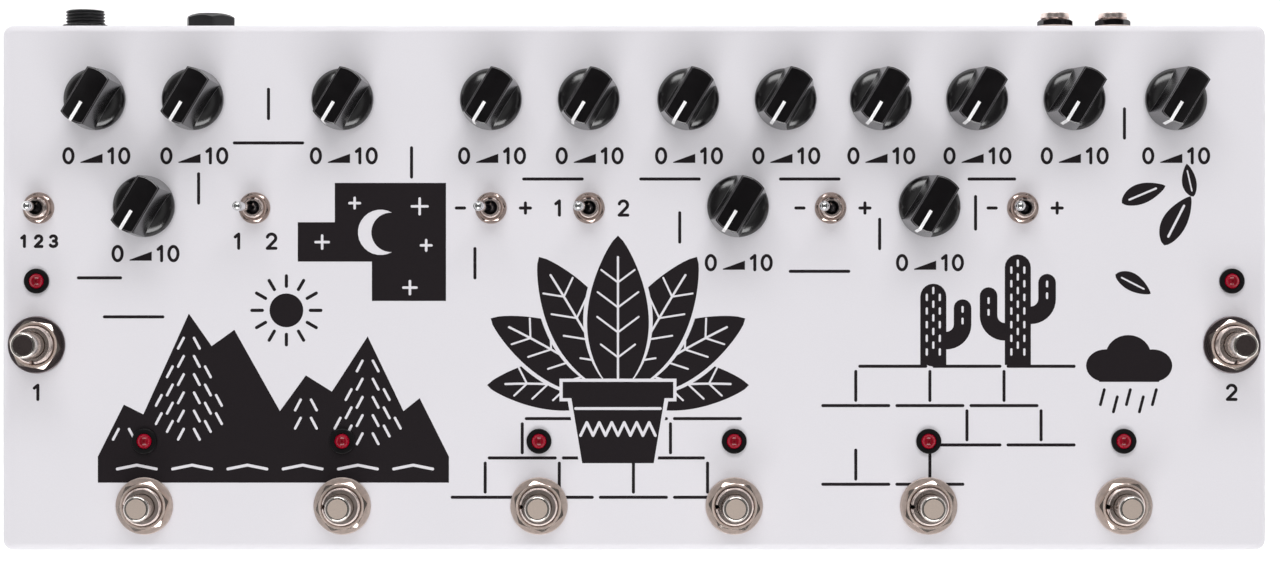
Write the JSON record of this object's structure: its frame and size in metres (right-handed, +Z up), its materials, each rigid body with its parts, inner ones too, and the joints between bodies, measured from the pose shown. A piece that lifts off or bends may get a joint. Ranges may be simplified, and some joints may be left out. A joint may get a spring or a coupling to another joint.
{
  "type": "multi-effects pedal",
  "caption": "Long box-shaped effects pedal for an instrument, with rows of bar-grip knobs, toggle switches, indicator lights and footswitches on top and sockets in the rear wall.",
  "frame": {"origin": "on the floor, under the middle of the whole object", "axes": "+X to the right along the length, seen by the person who plays, +Y to the rear wall with the sockets, +Z up"},
  "size_m": [0.389, 0.168, 0.0676],
  "materials": {
    "white_coat": "satin white powder coat with black print",
    "base_sheet": "brushed sheet",
    "board": "green solder mask",
    "rubber": "matt black",
    "knob_black": "gloss black moulding with a white pointer line",
    "nickel": "warm bright nickel plate",
    "chrome": "polished chrome plate",
    "button_steel": "bright turned edge with a finely brushed top",
    "led_red": "unlit dark red lens in a black bezel",
    "socket_black": "satin black moulding"
  },
  "bodies": {
    "body": {"enclosure": "white_coat", "base_plate": "base_sheet", "circuit_board": "board", "foot_front_left": "rubber", "foot_front_right": "rubber", "foot_rear_left": "rubber", "foot_rear_right": "rubber", "toggle_body_1": "nickel", "toggle_body_2": "nickel", "toggle_body_3": "nickel", "toggle_body_4": "nickel", "toggle_body_5": "nickel", "toggle_body_6": "nickel", "footswitch_body_1": "nickel", "footswitch_body_2": "nickel", "footswitch_body_3": "nickel", "footswitch_body_4": "nickel", "footswitch_body_5": "nickel", "footswitch_body_6": "nickel", "footswitch_body_7": "nickel", "footswitch_body_8": "nickel", "led_1": "led_red", "led_2": "led_red", "led_3": "led_red", "led_4": "led_red", "led_5": "led_red", "led_6": "led_red", "led_7": "led_red", "led_8": "led_red", "audio_jacks": "nickel", "aux_jack": "socket_black", "power_jack": "socket_black"},
    "knob_1": {"knob_1": "knob_black"},
    "knob_2": {"knob_2": "knob_black"},
    "knob_3": {"knob_3": "knob_black"},
    "knob_4": {"knob_4": "knob_black"},
    "knob_5": {"knob_5": "knob_black"},
    "knob_6": {"knob_6": "knob_black"},
    "knob_7": {"knob_7": "knob_black"},
    "knob_8": {"knob_8": "knob_black"},
    "knob_9": {"knob_9": "knob_black"},
    "knob_10": {"knob_10": "knob_black"},
    "knob_11": {"knob_11": "knob_black"},
    "knob_12": {"knob_12": "knob_black"},
    "knob_13": {"knob_13": "knob_black"},
    "knob_14": {"knob_14": "knob_black"},
    "toggle_lever_1": {"toggle_lever_1": "chrome"},
    "toggle_lever_2": {"toggle_lever_2": "chrome"},
    "toggle_lever_3": {"toggle_lever_3": "chrome"},
    "toggle_lever_4": {"toggle_lever_4": "chrome"},
    "toggle_lever_5": {"toggle_lever_5": "chrome"},
    "toggle_lever_6": {"toggle_lever_6": "chrome"},
    "footswitch_button_1": {"footswitch_button_1": "button_steel"},
    "footswitch_button_2": {"footswitch_button_2": "button_steel"},
    "footswitch_button_3": {"footswitch_button_3": "button_steel"},
    "footswitch_button_4": {"footswitch_button_4": "button_steel"},
    "footswitch_button_5": {"footswitch_button_5": "button_steel"},
    "footswitch_button_6": {"footswitch_button_6": "button_steel"},
    "footswitch_button_7": {"footswitch_button_7": "button_steel"},
    "footswitch_button_8": {"footswitch_button_8": "button_steel"}
  },
  "joints": [
    {"name": "knob_1_turn", "type": "hinge", "parent": "body", "child": "knob_1", "pos_m": [-0.16575, 0.0546, 0.048], "axis": [0, 0, -1], "range_deg": [0, 300]},
    {"name": "knob_2_turn", "type": "hinge", "parent": "body", "child": "knob_2", "pos_m": [-0.13561, 0.0546, 0.048], "axis": [0, 0, -1], "range_deg": [0, 300]},
    {"name": "knob_3_turn", "type": "hinge", "parent": "body", "child": "knob_3", "pos_m": [-0.08963, 0.0546, 0.048], "axis": [0, 0, -1], "range_deg": [0, 300]},
    {"name": "knob_4_turn", "type": "hinge", "parent": "body", "child": "knob_4", "pos_m": [-0.04403, 0.0546, 0.048], "axis": [0, 0, -1], "range_deg": [0, 300]},
    {"name": "knob_5_turn", "type": "hinge", "parent": "body", "child": "knob_5", "pos_m": [-0.014, 0.0546, 0.048], "axis": [0, 0, -1], "range_deg": [0, 300]},
    {"name": "knob_6_turn", "type": "hinge", "parent": "body", "child": "knob_6", "pos_m": [0.01657, 0.0546, 0.048], "axis": [0, 0, -1], "range_deg": [0, 300]},
    {"name": "knob_7_turn", "type": "hinge", "parent": "body", "child": "knob_7", "pos_m": [0.04649, 0.0546, 0.048], "axis": [0, 0, -1], "range_deg": [0, 300]},
    {"name": "knob_8_turn", "type": "hinge", "parent": "body", "child": "knob_8", "pos_m": [0.07574, 0.0546, 0.048], "axis": [0, 0, -1], "range_deg": [0, 300]},
    {"name": "knob_9_turn", "type": "hinge", "parent": "body", "child": "knob_9", "pos_m": [0.1053, 0.0546, 0.048], "axis": [0, 0, -1], "range_deg": [0, 300]},
    {"name": "knob_10_turn", "type": "hinge", "parent": "body", "child": "knob_10", "pos_m": [0.13522, 0.0546, 0.048], "axis": [0, 0, -1], "range_deg": [0, 300]},
    {"name": "knob_11_turn", "type": "hinge", "parent": "body", "child": "knob_11", "pos_m": [0.16641, 0.0546, 0.048], "axis": [0, 0, -1], "range_deg": [0, 300]},
    {"name": "knob_12_turn", "type": "hinge", "parent": "body", "child": "knob_12", "pos_m": [-0.15062, 0.02172, 0.048], "axis": [0, 0, -1], "range_deg": [0, 300]},
    {"name": "knob_13_turn", "type": "hinge", "parent": "body", "child": "knob_13", "pos_m": [0.03186, 0.02172, 0.048], "axis": [0, 0, -1], "range_deg": [0, 300]},
    {"name": "knob_14_turn", "type": "hinge", "parent": "body", "child": "knob_14", "pos_m": [0.09068, 0.02172, 0.048], "axis": [0, 0, -1], "range_deg": [0, 300]},
    {"name": "toggle_1_throw", "type": "hinge", "parent": "body", "child": "toggle_lever_1", "pos_m": [-0.18322, 0.02123, 0.0507], "axis": [0, 1, 0], "range_deg": [-12.5, 12.5]},
    {"name": "toggle_2_throw", "type": "hinge", "parent": "body", "child": "toggle_lever_2", "pos_m": [-0.11678, 0.02123, 0.0507], "axis": [0, 1, 0], "range_deg": [0, 25]},
    {"name": "toggle_3_throw", "type": "hinge", "parent": "body", "child": "toggle_lever_3", "pos_m": [-0.04407, 0.02123, 0.0507], "axis": [0, 1, 0], "range_deg": [0, 25]},
    {"name": "toggle_4_throw", "type": "hinge", "parent": "body", "child": "toggle_lever_4", "pos_m": [-0.01393, 0.02123, 0.0507], "axis": [0, 1, 0], "range_deg": [0, 25]},
    {"name": "toggle_5_throw", "type": "hinge", "parent": "body", "child": "toggle_lever_5", "pos_m": [0.06037, 0.02123, 0.0507], "axis": [0, 1, 0], "range_deg": [0, 25]},
    {"name": "toggle_6_throw", "type": "hinge", "parent": "body", "child": "toggle_lever_6", "pos_m": [0.1195, 0.02123, 0.0507], "axis": [0, 1, 0], "range_deg": [0, 25]},
    {"name": "footswitch_1_press", "type": "slide", "parent": "body", "child": "footswitch_button_1", "axis": [0, 0, -1], "range_m": [0, 0.0025], "stiffness_N_per_m": 800, "springref_m": -0.003},
    {"name": "footswitch_2_press", "type": "slide", "parent": "body", "child": "footswitch_button_2", "axis": [0, 0, -1], "range_m": [0, 0.0025], "stiffness_N_per_m": 800, "springref_m": -0.003},
    {"name": "footswitch_3_press", "type": "slide", "parent": "body", "child": "footswitch_button_3", "axis": [0, 0, -1], "range_m": [0, 0.0025], "stiffness_N_per_m": 800, "springref_m": -0.003},
    {"name": "footswitch_4_press", "type": "slide", "parent": "body", "child": "footswitch_button_4", "axis": [0, 0, -1], "range_m": [0, 0.0025], "stiffness_N_per_m": 800, "springref_m": -0.003},
    {"name": "footswitch_5_press", "type": "slide", "parent": "body", "child": "footswitch_button_5", "axis": [0, 0, -1], "range_m": [0, 0.0025], "stiffness_N_per_m": 800, "springref_m": -0.003},
    {"name": "footswitch_6_press", "type": "slide", "parent": "body", "child": "footswitch_button_6", "axis": [0, 0, -1], "range_m": [0, 0.0025], "stiffness_N_per_m": 800, "springref_m": -0.003},
    {"name": "footswitch_7_press", "type": "slide", "parent": "body", "child": "footswitch_button_7", "axis": [0, 0, -1], "range_m": [0, 0.0025], "stiffness_N_per_m": 800, "springref_m": -0.003},
    {"name": "footswitch_8_press", "type": "slide", "parent": "body", "child": "footswitch_button_8", "axis": [0, 0, -1], "range_m": [0, 0.0025], "stiffness_N_per_m": 800, "springref_m": -0.003}
  ]
}
